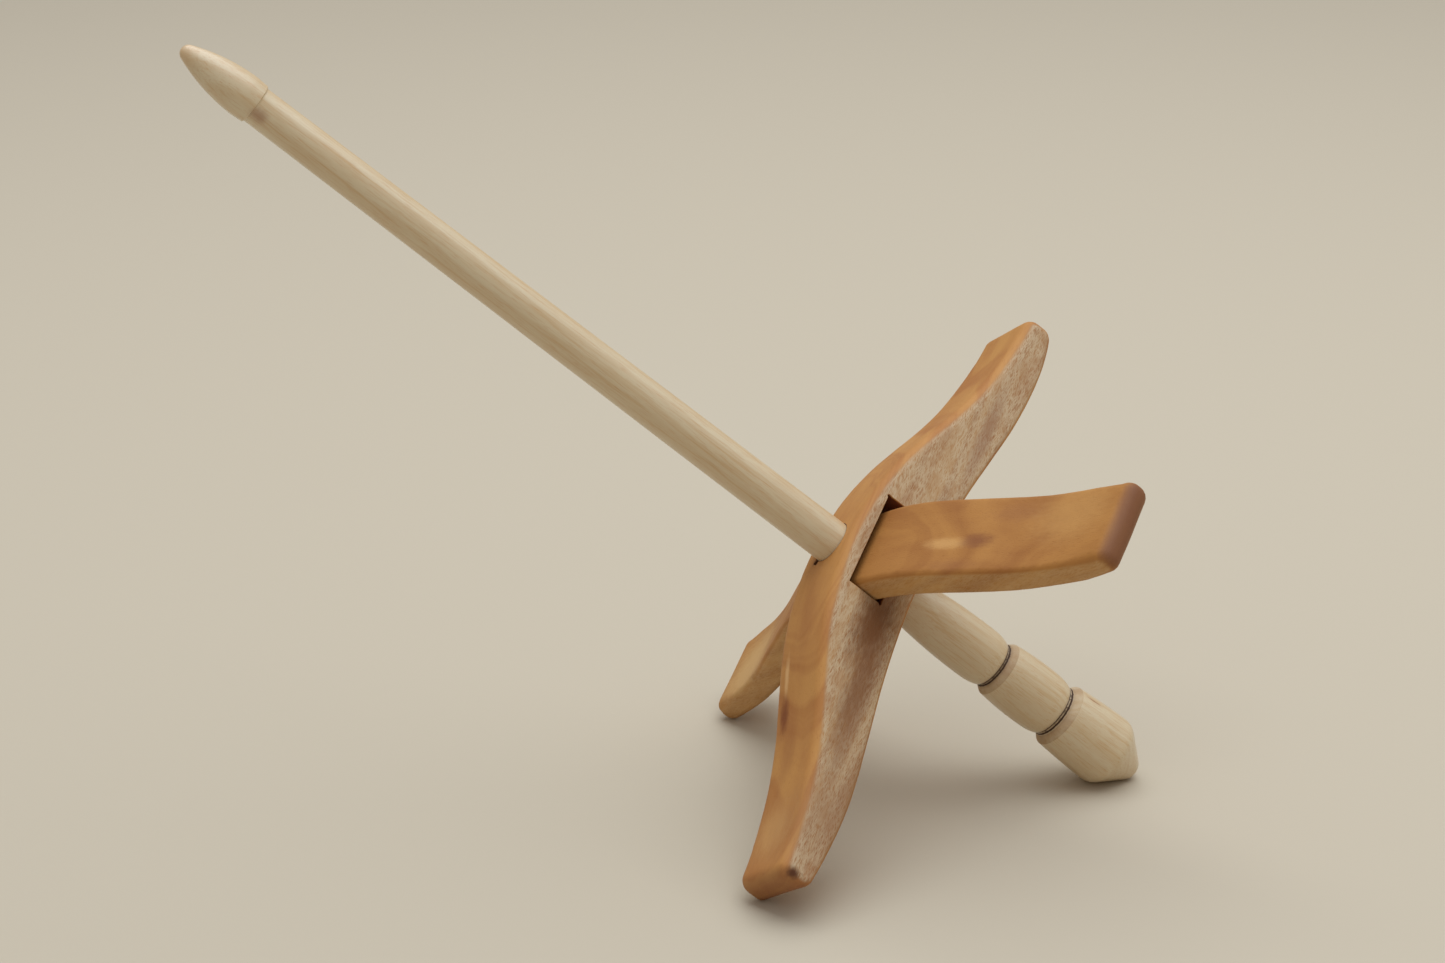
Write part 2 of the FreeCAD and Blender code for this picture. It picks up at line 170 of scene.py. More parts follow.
class ShaftSettings(bpy.types.PropertyGroup):
    facets: IntProperty(name="Facets", description="Sides of the turned shaft", default=128, min=16)
    pale_maple: colour_property("Pale Maple", "Light bands of the maple", (0.645, 0.56, 0.39))
    tan_maple: colour_property("Tan Maple", "Darker bands of the maple", (0.52, 0.345, 0.155))
    char: colour_property("Char", "Burned rings", (0.055, 0.027, 0.014))


class OuterArmSettings(bpy.types.PropertyGroup):
    width: length_property("Width", "Across the arm", 0.015)
    slot_length: length_property("Slot Length", "Slot, along the arm", 0.0193)
    slot_height: length_property("Slot Height", "Slot, along the shaft", 0.0072)
    bore: length_property("Hole Radius", "Hole for the shaft", 0.00403)
    top_edge: length_property("Top Edge Rounding", "Sanded upper edges", 0.00205)
    bottom_edge: length_property("Bottom Edge Rounding", "Sanded lower edges", 0.0012)
    honey: colour_property("Honey", "Light bands of the cherry", (0.54, 0.278, 0.087))
    russet: colour_property("Russet", "Dark bands of the cherry", (0.38, 0.152, 0.047))


class InnerArmSettings(bpy.types.PropertyGroup):
    width: length_property("Width", "Across the arm", 0.0172)
    bore: length_property("Hole Radius", "Hole for the shaft", 0.00415)
    top_edge: length_property("Top Edge Rounding", "Sanded upper edges", 0.0013)
    bottom_edge: length_property("Bottom Edge Rounding", "Sanded lower edges", 0.0014)
    honey: colour_property("Honey", "Light bands of the cherry", (0.465, 0.22, 0.058))
    russet: colour_property("Russet", "Dark bands of the cherry", (0.31, 0.12, 0.03))
    # Paler sawn wood on both flat sides, lightened further as painted light for the brighter light on the
    # near side.
    sawn_side_and_painted_light: colour_property("Sawn Side And Painted Light", "Lighter wood of the arm's two sides", (0.63, 0.345, 0.105))


class StageSettings(bpy.types.PropertyGroup):
    floor: colour_property("Floor", "Plain floor", (0.545, 0.495, 0.40))
    key_power: FloatProperty(name="Key Light", description="Large soft light above", default=8.9,
                             min=0.0, unit="POWER")
    sky: FloatProperty(name="Sky", description="Strength of the light from all round", default=0.5,
                       min=0.0)
    lens: FloatProperty(name="Lens", description="Focal length on a 36 mm sensor", default=77.61,
                        min=1.0, unit="CAMERA")


# --- shapes ---

def bowed(start, end, radius, count):
    """Points after start up to end on an arc that bulges away from the shaft's axis."""
    (z0, r0), (z1, r1) = start, end
    along, out = z1 - z0, r1 - r0
    chord = math.hypot(along, out)
    depth = math.sqrt(radius ** 2 - (chord / 2) ** 2)
    middle_z = (z0 + z1) / 2 + depth * out / chord
    middle_r = (r0 + r1) / 2 - depth * along / chord
    first = math.atan2(r0 - middle_r, z0 - middle_z)
    last = math.atan2(r1 - middle_r, z1 - middle_z)
    turns = [first + (last - first) * step / count for step in range(1, count + 1)]
    return [(middle_z + radius * math.cos(turn), middle_r + radius * math.sin(turn)) for turn in turns]


def straight(start, end, count):
    return [tuple(a + (b - a) * step / count for a, b in zip(start, end)) for step in range(1, count + 1)]


def shaft_profile():
    """(height, radius) from the lower end to the tip, in millimetres."""
    points = [SHAFT_CORNERS[0][:2]]
    reach_of = {}
    for here, after in zip(SHAFT_CORNERS, SHAFT_CORNERS[1:]):
        start, end = here[:2], after[:2]
        if here is SHAFT_CORNERS[-2]:
            points += bowed(start, end, here[2], BULB_STEPS)
        elif here[2]:
            points += bowed(start, end, here[2], ARC_STEPS)
        else:
            steps = round(math.dist(start, end) / RUN_STEP)
            points += straight(start, end, max(1, min(MOST_STEPS, steps)))
        reach_of[len(points) - 1] = after[3]
    profile = soften(points, reach_of)
    return dome(profile[0], SHAFT_END_DOME, -1)[::-1] + profile + dome(profile[-1], SHAFT_TIP_DOME, 1)


def soften(points, reach_of):
    """Round each corner of the polyline that has a reach, over that reach, with a short curve."""
    rounded = [points[0]]
    for index in range(1, len(points) - 1):
        reach = reach_of.get(index)
        if not reach:
            rounded.append(points[index])
            continue
        corner = Vector(points[index])
        back, on = Vector(points[index - 1]) - corner, Vector(points[index + 1]) - corner
        start = corner + back.normalized() * min(reach, back.length * CORNER_SHARE)
        end = corner + on.normalized() * min(reach, on.length * CORNER_SHARE)
        for step in range(CORNER_STEPS + 1):
            t = step / CORNER_STEPS
            rounded.append(tuple(start * (1 - t) ** 2 + corner * 2 * t * (1 - t) + end * t ** 2))
    return rounded + [points[-1]]


def dome(edge, rise, way):
    """Domed end beyond an edge, from the edge towards the axis and stopping just short of it."""
    z, r = edge
    radius = (r ** 2 + rise ** 2) / (2 * rise)
    centre = z + way * (rise - radius)
    outs = [r * (1 - step / (DOME_RINGS + 0.5)) for step in range(1, DOME_RINGS + 1)]
    return [(centre + way * math.sqrt(radius ** 2 - out ** 2), out) for out in outs]


def join_rings(mesh, rings):
    """Faces from each ring of vertices to the next."""
    for low, high in zip(rings, rings[1:]):
        for k in range(len(low)):
            after = (k + 1) % len(low)
            mesh.faces.new((low[k], low[after], high[after], high[k]))


def finished_mesh(name, mesh, crease):
    """Mesh data from a bmesh: flat-shaded, or smooth with edges crisp past the crease angle."""
    bmesh.ops.recalc_face_normals(mesh, faces=mesh.faces)
    data = bpy.data.meshes.new(name)
    mesh.to_mesh(data)
    mesh.free()
    if crease:
        data.shade_smooth()
        data.set_sharp_from_angle(angle=math.radians(crease))
    return data


def closed_mesh(name, places, crease=None):
    """A mesh over rings of places, closed at both ends."""
    mesh = bmesh.new()
    rings = [[mesh.verts.new(place) for place in ring] for ring in places]
    join_rings(mesh, rings)
    mesh.faces.new(rings[0][::-1])
    mesh.faces.new(rings[-1])
    return finished_mesh(name, mesh, crease)


def turned_mesh(name, profile, facets):
    """A lathe-turned mesh about local Z."""
    turns = [2 * math.pi * k / facets for k in range(facets)]
    places = [[(radius * MM * math.cos(turn), radius * MM * math.sin(turn), height * MM) for turn in turns]
              for height, radius in profile]
    return closed_mesh(name, places, SHAFT_CREASE)


def side_height(side, across):
    """Height and slope of an arm's long side at a distance from the crossing."""
    crown, crown_radius, ramp, turn, sweep_radius = side
    x = abs(across)
    lean = math.asin(ramp / crown_radius)
    ramp_height = crown - crown_radius * (1 - math.cos(lean))
    turn_height = ramp_height - (turn - ramp) * math.tan(lean)
    sweep_x = turn + sweep_radius * math.sin(lean)
    sweep_z = turn_height + sweep_radius * math.cos(lean)
    if x <= ramp:
        height = crown - crown_radius + math.sqrt(crown_radius ** 2 - x * x)
        slope = -x / math.sqrt(crown_radius ** 2 - x * x)
    elif x <= turn:
        height = ramp_height - (x - ramp) * math.tan(lean)
        slope = -math.tan(lean)
    else:
        height = sweep_z - math.sqrt(sweep_radius ** 2 - (x - sweep_x) ** 2)
        slope = (x - sweep_x) / math.sqrt(sweep_radius ** 2 - (x - sweep_x) ** 2)
    return height, slope


def side_row(arm, side_name, stations=64, corner_steps=8):
    """Points along one long side from the crossing to the end of the rounded tip corner."""
    side, reach, tip = arm[side_name], arm["reach"], arm["tip"]
    inwards = -1 if side_name == "top" else 1
    low, high = reach - 2 * tip, reach

    def fillet_middle(x):
        height, slope = side_height(side, x)
        length = math.hypot(1, slope)
        return x - inwards * slope * tip / length, height + inwards * tip / length

    for _ in range(40):
        middle = (low + high) / 2
        if fillet_middle(middle)[0] < reach - tip:
            low = middle
        else:
            high = middle
    start_x = (low + high) / 2
    centre_x, centre_z = fillet_middle(start_x)
    points = []
    for step in range(stations + 1):
        x = start_x * step / stations
        points.append((x, side_height(side, x)[0]))
    first = math.atan2(points[-1][1] - centre_z, points[-1][0] - centre_x)
    for step in range(1, corner_steps + 1):
        turn = first * (1 - step / corner_steps)
        points.append((centre_x + tip * math.cos(turn), centre_z + tip * math.sin(turn)))
    return points


def arm_grid(arm, rows=8):
    """Grid of (x, z) places over an arm's flat side: columns from tip to tip, rows from top to bottom."""
    columns = []
    pairs = list(zip(side_row(arm, "top"), side_row(arm, "bottom")))
    for mirror, run in ((-1, pairs[:0:-1]), (1, pairs)):
        for (top_x, top_z), (low_x, low_z) in run:
            columns.append([(mirror * (top_x + (low_x - top_x) * row / rows),
                             top_z + (low_z - top_z) * row / rows) for row in range(rows + 1)])
    return columns


def loop_round(grid):
    """Indices of the grid's border, once round."""
    last, rows = len(grid) - 1, len(grid[0]) - 1
    return ([(i, 0) for i in range(last + 1)] + [(last, j) for j in range(1, rows + 1)]
            + [(i, rows) for i in range(last - 1, -1, -1)] + [(0, j) for j in range(rows - 1, 0, -1)])


def outline_normals(outline):
    """Unit normals at a closed outline's points, to the right of the way that it runs."""
    normals = []
    for index in range(len(outline)):
        along = Vector(outline[(index + 1) % len(outline)]) - Vector(outline[index - 1])
        normals.append(Vector((along.y, -along.x)).normalized())
    return normals


def hand_work(x, y, z):
    """Unevenness left by hand sanding, in millimetres, none where the arms fit together."""
    fade = min(1.0, max(0.0, (abs(x) - FIT_END) / FADE_LENGTH))
    broad = noise.noise(Vector((x / 13, y / 8, z / 9)))
    fine = noise.noise(Vector((x / 4, y / 4 + 7, z / 4)))
    return fade * (BROAD_WAVE * broad + FINE_WAVE * fine)


def edge_size(arm, settings, place, upwards, side):
    """Rounding of an arm's long edge at a place on its outline, in millimetres.

    The tip that rests on the table keeps its lower corners, so that it touches.
    """
    x, z = place
    top_edge, bottom_edge = settings.top_edge / MM, settings.bottom_edge / MM
    size = bottom_edge + (top_edge - bottom_edge) * upwards
    near_tip = min(1.0, max(0.0, (abs(x) - arm["reach"] + TIP_ZONE) / TIP_ZONE))
    size *= 1 + TIP_GROWTH * near_tip * (1 if x > 0 else upwards ** 2)
    size *= 1 + EDGE_WANDER * noise.noise(Vector((x / 11, z / 11, 3 * side)))
    wave = arm["ripple"] if side < 0 and upwards > 0.5 else EVEN_RIPPLE
    size *= 1 + wave * noise.noise(Vector((x / 1.1, 5 * side, 1.5)))
    return min(size, arm["tip"] * 0.92)


def fill_side(mesh, grid, at):
    """Faces over an arm's flat side, inside its border's vertices, which at holds by their grid indices."""
    columns, rows = len(grid), len(grid[0])
    for i in range(1, columns - 1):
        top, low = at[(i, 0)].co, at[(i, rows - 1)].co
        for j in range(1, rows - 1):
            at[(i, j)] = mesh.verts.new(top.lerp(low, j / (rows - 1)))
    for i in range(columns - 1):
        for j in range(rows - 1):
            mesh.faces.new((at[(i, j)], at[(i + 1, j)], at[(i + 1, j + 1)], at[(i, j + 1)]))


def arm_mesh(name, arm, settings):
    """A bowed arm with rounded tips and hand-softened edges, before its slot and hole."""
    grid = arm_grid(arm)
    border = loop_round(grid)
    outline = [Vector(grid[i][j]) for i, j in border]
    normals = [-normal for normal in outline_normals(outline)]
    half = settings.width / MM / 2
    layers = []
    for side in (-1, 1):
        sizes = [edge_size(arm, settings, place, (normal.y + 1) / 2, side)
                 for place, normal in zip(outline, normals)]
        for step in range(EDGE_STEPS + 1):
            turn = math.pi / 2 * step / EDGE_STEPS
            loop = []
            for place, normal, size in zip(outline, normals, sizes):
                at = place - normal * size * (1 - math.sin(turn))
                y = side * (half - size * (1 - math.cos(turn)))
                at = at + normal * hand_work(at.x, y, at.y) * math.sin(turn)
                loop.append((at.x, y, at.y))
            layers.append(loop)
    near, far = layers[:EDGE_STEPS + 1], layers[EDGE_STEPS + 1:][::-1]
    across = []
    for step in range(1, BAND_STEPS):
        loop = []
        for place, normal, start, end in zip(outline, normals, near[-1], far[0]):
            at = Vector(start).lerp(Vector(end), step / BAND_STEPS)
            flat = place + normal * hand_work(at.x, at.y, at.z)
            loop.append((flat.x, at.y, flat.y))
        across.append(loop)

    mesh = bmesh.new()
    rings = [[mesh.verts.new(Vector(place) * MM) for place in loop] for loop in near + across + far]
    join_rings(mesh, rings)
    for ring in (rings[0], rings[-1]):
        fill_side(mesh, grid, dict(zip(border, ring)))
    return finished_mesh(name, mesh, ARM_CREASE)


def prism(outline, layers):
    """A cutter: an outline grown by a margin at each (height, margin) layer, closed at both ends."""
    corners = list(zip(outline, outline_normals(outline)))
    return closed_mesh("cutter", [[Vector((*(Vector(place) + normal * margin), height)) * MM
                                   for place, normal in corners] for height, margin in layers])


def mouth_layers(low, high, chamfer):
    """Layers of a cutter whose mouths open by a chamfer where it meets the two surfaces."""
    return [(low - CUTTER_BEYOND, CUTTER_BEYOND + chamfer), (low + chamfer, 0.0),
            (high - chamfer, 0.0), (high + CUTTER_BEYOND, CUTTER_BEYOND + chamfer)]


def slot_outline(length, height):
    """The slot's rectangle, overcut by the saw at three of its corners."""
    left, right = SLOT_MIDDLE - length / 2, SLOT_MIDDLE + length / 2
    low, high = -height / 2, height / 2
    return [(left - 0.42, low + 0.1), (left + 0.05, low - 0.12), (left + 0.6, low), (right - 0.5, low),
            (right - 0.1, low - 0.4), (right + 0.12, low + 0.06), (right, low + 0.5), (right, high - 0.7),
            (right + 0.14, high + 0.02), (right - 0.14, high + 0.3), (right - 0.5, high), (left, high),
            (left, low + 0.55)]


def hole_cutter(arm, radius, facets=72):
    """A cutter for the shaft's hole through an arm."""
    turns = [2 * math.pi * k / facets for k in range(facets)]
    outline = [(radius * math.cos(turn), radius * math.sin(turn)) for turn in turns]
    return prism(outline, mouth_layers(arm["bottom"][0], arm["top"][0], HOLE_CHAMFER))


def cut(data, cutters):
    """Cut each (mesh, matrix) out of a mesh and return what is left, with its crisp edges marked."""
    blank = bpy.data.objects.new("blank", data)
    bpy.context.scene.collection.objects.link(blank)
    knives = []
    for cutter, matrix in cutters:
        knife = bpy.data.objects.new("knife", cutter)
        knife.matrix_world = matrix
        bpy.context.scene.collection.objects.link(knife)
        knives.append(knife)
        saw = blank.modifiers.new("cut", "BOOLEAN")
        saw.operation = "DIFFERENCE"
        saw.solver = "EXACT"
        saw.object = knife
    graph = bpy.context.evaluated_depsgraph_get()
    result = bpy.data.meshes.new_from_object(blank.evaluated_get(graph))
    if len(result.polygons) <= len(data.polygons):
        raise RuntimeError(f"nothing was cut from {data.name}")
    name = data.name
    for item in (blank, *knives):
        used = item.data
        bpy.data.objects.remove(item)
        bpy.data.meshes.remove(used)
    result.name = name
    mesh = bmesh.new()
    mesh.from_mesh(result)
    bmesh.ops.remove_doubles(mesh, verts=mesh.verts, dist=WELD * MM)
    bmesh.ops.dissolve_degenerate(mesh, edges=mesh.edges, dist=WELD * MM)
    mesh.to_mesh(result)
    mesh.free()
    result.set_sharp_from_angle(angle=math.radians(ARM_CREASE))
    return result


def spindle_place():
    """Matrix from the crossing's axes to the table's."""
    level = Vector((0, 1, 0)).cross(SHAFT_AXIS)
    arms = Matrix.Rotation(math.radians(ARMS_TURN), 3, SHAFT_AXIS) @ level.normalized()
    turned = Matrix((arms, SHAFT_AXIS.cross(arms), SHAFT_AXIS)).transposed()
    return Matrix.Translation(CROSSING) @ turned.to_4x4()


def place_piece(data, matrix, body, material):
    piece = bpy.data.objects.new(data.name, data)
    bpy.context.scene.collection.objects.link(piece)
    piece.matrix_world = matrix
    data.materials.clear()
    data.materials.append(material)
    bpy.context.view_layer.update()
    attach(piece, body)
    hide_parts(body)


# --- shader nodes ---

# Rates of the wood's patterns along and across the grain, in waves a millimetre.
SWAY_RATES = (0.028, 0.07, 0.07)
CLOUD_RATES = (0.045, 0.16, 0.16)
PATCH_RATES = (0.3, 0.6, 0.6)
TEAR_RATES = (0.5, 1.6, 1.6)
FIBRE_RATES = (0.5, 5.0, 5.0)
ORIGIN = (0.0, 0.0, 0.0)


def add_node(tree, kind, inputs=(), **settings):
    """A node of that kind with its settings, and each input given a value or joined to an output."""
    made = tree.nodes.new(kind)
    for setting, value in settings.items():
        setattr(made, setting, value)
    for socket, value in dict(inputs).items():
        if isinstance(value, bpy.types.NodeSocket):
            tree.links.new(value, made.inputs[socket])
        else:
            made.inputs[socket].default_value = value
    return made


def calculate(tree, operation, *values, clamp=False):
    made = add_node(tree, "ShaderNodeMath", enumerate(values), operation=operation, use_clamp=clamp)
    return made.outputs[0]


def times(tree, first, second):
    return calculate(tree, "MULTIPLY", first, second)


def centred(tree, value):
    """A noise about nought, from one about a half."""
    return calculate(tree, "SUBTRACT", value, 0.5)


def largest(tree, values):
    result = values[0]
    for value in values[1:]:
        result = calculate(tree, "MAXIMUM", result, value)
    return result


def stretch(tree, value, low, high, to_low=0.0, to_high=1.0):
    """Map a value from one range to another, easing in and out, and clamp it there."""
    inputs = {"Value": value, "From Min": low, "From Max": high, "To Min": to_low, "To Max": to_high}
    return add_node(tree, "ShaderNodeMapRange", inputs, interpolation_type="SMOOTHSTEP").outputs["Result"]


def blend(tree, amount, first, second):
    """Mix two colours, each an output or plain red, green and blue, by an amount."""
    first, second = (item if isinstance(item, bpy.types.NodeSocket) else shaded(item)
                     for item in (first, second))
    return add_node(tree, "ShaderNodeMix", {0: amount, 6: first, 7: second}, data_type="RGBA").outputs[2]


def shaded(colour):
    return (*colour, 1.0)


def vectors(tree, operation, first, second):
    return add_node(tree, "ShaderNodeVectorMath", {0: first, 1: second}, operation=operation).outputs[0]


def scaled(tree, place, factors):
    return vectors(tree, "MULTIPLY", place, factors)


def length_of(tree, vector):
    return add_node(tree, "ShaderNodeVectorMath", {0: vector}, operation="LENGTH").outputs["Value"]


def axis_of(tree, vector, axis):
    return add_node(tree, "ShaderNodeSeparateXYZ", {0: vector}).outputs[axis]


def tipped(tree, place, angle):
    """A place turned about the local Y axis."""
    turn = {"Vector": place, "Axis": (0.0, 1.0, 0.0), "Angle": angle}
    return add_node(tree, "ShaderNodeVectorRotate", turn).outputs[0]


def mottle(tree, place, detail, scale=1.0, shape="3D", **more):
    """Smooth noise about a half, over a place or, where its shape is 1D, along a value."""
    inputs = {"W" if shape == "1D" else "Vector": place, "Scale": scale, "Detail": detail, **more}
    return add_node(tree, "ShaderNodeTexNoise", inputs, noise_dimensions=shape).outputs["Fac"]


def new_group(name):
    """Build a shader node group. An input is a number or a vector, as its default is; outputs are numbers."""
    lay_out, inputs = GROUPS[name]
    tree = bpy.data.node_groups.new(name, "ShaderNodeTree")
    for socket, default in inputs.items():
        kind = "NodeSocketFloat" if isinstance(default, float) else "NodeSocketVector"
        tree.interface.new_socket(name=socket, in_out="INPUT", socket_type=kind).default_value = default
    results = lay_out(tree, tree.nodes.new("NodeGroupInput").outputs)
    for socket in results:
        tree.interface.new_socket(name=socket, in_out="OUTPUT", socket_type="NodeSocketFloat")
    add_node(tree, "NodeGroupOutput", results)


def use_group(tree, name, **inputs):
    """Place a node group, built when first used; an input's spaces are written as underscores."""
    if name not in bpy.data.node_groups:
        new_group(name)
    named = {socket.replace("_", " "): value for socket, value in inputs.items()}
    return add_node(tree, "ShaderNodeGroup", named, node_tree=bpy.data.node_groups[name]).outputs


def growth_bands(tree, given):
    """Growth rings about a pith line along X, cut through by whatever surface shows them."""
    shifted = vectors(tree, "ADD", given["Place"], given["Seed"])
    sway = mottle(tree, scaled(tree, shifted, SWAY_RATES), 2.0)
    away = vectors(tree, "SUBTRACT", given["Place"], given["Pith"])
    from_pith = length_of(tree, scaled(tree, away, (0.0, 1.0, 1.0)))
    swayed = calculate(tree, "MULTIPLY_ADD", centred(tree, sway), given["Waver"], from_pith)
    counted = calculate(tree, "DIVIDE", swayed, given["Spacing"])
    band = mottle(tree, counted, 3.0, shape="1D", Roughness=0.6)
    cloud = mottle(tree, scaled(tree, shifted, CLOUD_RATES), 4.0, Roughness=0.55, Distortion=0.4)
    return {"Bands": stretch(tree, band, 0.3, 0.72), "Cloud": stretch(tree, cloud, 0.32, 0.68)}


def stroke_rates(tree, given, depth_rate=None):
    """Rates that count strokes of a group's Length along X and of its Width across."""
    along = calculate(tree, "DIVIDE", 1.0, given["Length"])
    across = calculate(tree, "DIVIDE", 1.0, given["Width"])
    rates = {"X": along, "Y": depth_rate or across, "Z": across}
    return add_node(tree, "ShaderNodeCombineXYZ", rates).outputs[0]


def pore_lines(tree, given):
    """Fine dashes of open pores along the grain."""
    drawn = mottle(tree, scaled(tree, given["Place"], stroke_rates(tree, given)), 1.5)
    edge = calculate(tree, "MULTIPLY_ADD", given["Amount"], -0.35, 0.72)
    full = calculate(tree, "ADD", edge, 0.14)
    return {"Lines": stretch(tree, drawn, edge, full)}


def ray_flecks(tree, given):
    """Short pale strokes where a face is cut along the rays, which lie in the local XZ plane."""
    rates = stroke_rates(tree, given, 0.5)
    strokes = []
    for lean in (0.0, -0.38):
        turned = tipped(tree, given["Place"], calculate(tree, "ADD", given["Tilt"], lean))
        strokes.append(stretch(tree, mottle(tree, scaled(tree, turned, rates), 2.0), 0.40, 0.60))
    patchy = mottle(tree, scaled(tree, given["Place"], PATCH_RATES), 2.0)
    broken = times(tree, largest(tree, strokes), stretch(tree, patchy, 0.3, 0.6, 0.5))
    sideways = calculate(tree, "ABSOLUTE", axis_of(tree, given["Normal"], "Y"))
    facing = stretch(tree, sideways, 0.72, 0.97)
    return {"Flecks": times(tree, broken, facing), "Facing": facing}


def soft_mark(tree, given):
    """A soft-edged oval mark, one at the middle and nought beyond its half sizes."""
    away = vectors(tree, "SUBTRACT", given["Place"], given["Middle"])
    far = length_of(tree, vectors(tree, "DIVIDE", away, given["Half Size"]))
    broken = mottle(tree, scaled(tree, given["Place"], TEAR_RATES), 3.0)
    torn = calculate(tree, "MULTIPLY_ADD", centred(tree, broken), given["Raggedness"], far)
    return {"Mark": stretch(tree, torn, 0.15, 1.0, 1.0, 0.0)}


def sanded_surface(tree, given):
    """Height and roughness of hand-sanded, thinly oiled wood."""
    broad = mottle(tree, given["Place"], 2.0, 0.22)
    fibre = mottle(tree, scaled(tree, given["Place"], FIBRE_RATES), 3.0)
    height = calculate(tree, "MULTIPLY_ADD", broad, 0.6, times(tree, fibre, 0.3))
    rough = given["Roughness"]
    for wave in (broad, fibre):
        rough = calculate(tree, "MULTIPLY_ADD", centred(tree, wave), given["Spread"], rough)
    return {"Height": height, "Roughness": rough}


def burned_ring(tree, given):
    """How charred the shaft is about a ring's height, with a ridge of paler beads in the middle."""
    ragged = mottle(tree, given["Place"], 3.0, 1.8)
    above = calculate(tree, "SUBTRACT", axis_of(tree, given["Place"], "Z"), given["Height"])
    off = calculate(tree, "ABSOLUTE", above)
    uneven = calculate(tree, "MULTIPLY_ADD", centred(tree, ragged), 0.22, off)
    relative = calculate(tree, "DIVIDE", uneven, given["Half Width"])
    body = stretch(tree, relative, 0.75, 1.1, 1.0, 0.0)
    ridge = times(tree, stretch(tree, relative, 0.2, 0.5, 1.0, 0.0), given["Ridge"])
    beads = times(tree, ridge, stretch(tree, ragged, 0.36, 0.54, 0.25))
    return {"Char": calculate(tree, "SUBTRACT", body, beads, clamp=True),
            "Scorch": stretch(tree, relative, 0.9, 2.2, 0.35, 0.0)}


def painted_cut_shade(tree, given):
    """How deep a place lies inside the slot or the hole, where shade is painted dark onto the wood."""
    x, y, z = (axis_of(tree, given["Place"], axis) for axis in "XYZ")

    def beyond(value, edge):
        return calculate(tree, "SUBTRACT", value, given[edge])

    mouth = calculate(tree, "SUBTRACT", given["Half Width"], calculate(tree, "ABSOLUTE", y))
    off = calculate(tree, "ABSOLUTE", beyond(x, "Slot Middle"))
    up = calculate(tree, "ABSOLUTE", z)
    ends = stretch(tree, beyond(off, "Slot Half Length"), 0.6, 0.45)
    roof = stretch(tree, beyond(up, "Slot Half Height"), 0.5, 0.35)
    slot = times(tree, times(tree, ends, roof), stretch(tree, mouth, 0.0, 0.5))
    out = length_of(tree, scaled(tree, given["Place"], (1.0, 1.0, 0.0)))
    hole = stretch(tree, beyond(out, "Hole Radius"), 0.16, 0.02)
    return {"Inside": calculate(tree, "MAXIMUM", slot, hole)}


# Each shader node group: its function and the defaults of its inputs.
GROUPS = {
    "Growth Bands": (growth_bands, {
        "Place": ORIGIN, "Pith": (0.0, 0.0, 90.0), "Spacing": 2.4, "Waver": 2.0, "Seed": 0.0}),
    "Pore Lines": (pore_lines, {"Place": ORIGIN, "Length": 4.0, "Width": 0.16, "Amount": 0.4}),
    "Ray Flecks": (ray_flecks, {
        "Place": ORIGIN, "Normal": ORIGIN, "Length": 1.3, "Width": 0.15, "Tilt": 0.25}),
    "Soft Mark": (soft_mark, {
        "Place": ORIGIN, "Middle": ORIGIN, "Half Size": (3.0, 1.0, 1.0), "Raggedness": 0.3}),
    "Sanded Surface": (sanded_surface, {"Place": ORIGIN, "Roughness": 0.55, "Spread": 0.12}),
    "Burned Ring": (burned_ring, {"Place": ORIGIN, "Height": 0.0, "Half Width": 0.42, "Ridge": 0.3}),
    "Painted Cut Shade": (painted_cut_shade, {
        "Place": ORIGIN, "Half Width": 7.5, "Slot Middle": 0.0, "Slot Half Length": 0.0,
        "Slot Half Height": 0.0, "Hole Radius": 4.0}),
}


# --- woods ---

# Shaft: heights in millimetres of each worn collar's (top, bottom), of each end's tint as (where it
# starts, where it is full, how strong, colour) and of each ring as (middle, half width, ridge).
COLLARS = ((-31.95, -33.3), (-46.85, -48.25))
COLLAR_TOP_EDGE = 0.2
COLLAR_BOTTOM_EDGE = 0.06
END_TINTS = ((143.8, 147.2, 0.5, (0.62, 0.40, 0.20)), (-62.0, -66.0, 0.3, (0.60, 0.44, 0.27)))
BURNED_RINGS = ((-31.7, 0.40, 0.55), (-46.35, 0.48, 0.95))
MAPLE_PORES = (0.50, 0.245, 0.07)
WORN_COLLAR = (0.37, 0.25, 0.15)
SCORCH = (0.22, 0.12, 0.06)
COAT = 0.95

# Arms: colours of the sawn sides' light and dark bands and flecks, of end grain and of the painted shade deep
# in the slot and the hole, how far in from the tips the end grain starts and is full, and half a slot's
# length where there is no slot.
RAYED_LIGHT = (0.36, 0.235, 0.13)
RAYED_DARK = (0.22, 0.125, 0.07)
RAY_FLECK = (0.565, 0.445, 0.295)
END_GRAIN = (0.19, 0.08, 0.042)
PAINTED_CUT_SHADE = (0.13, 0.024, 0.011)
END_GRAIN_START = 9.0
END_GRAIN_FULL = 1.0
NO_SLOT = -9.0

# Marks, each (middle, half size, strength, colour), in millimetres in the piece's own axes: marks in the
# wood, and on the outer arm painted shade as well.
MAPLE_MARKS = (
    ((1.9, -2.6, 131.2), (1.9, 1.9, 2.3), 0.6, (0.30, 0.13, 0.06)),  # stain in the hitch notch
    ((5.3, 3.4, -50.9), (0.6, 0.32, 2.4), 1.0, (0.30, 0.11, 0.03)),  # streak on the last barrel
)
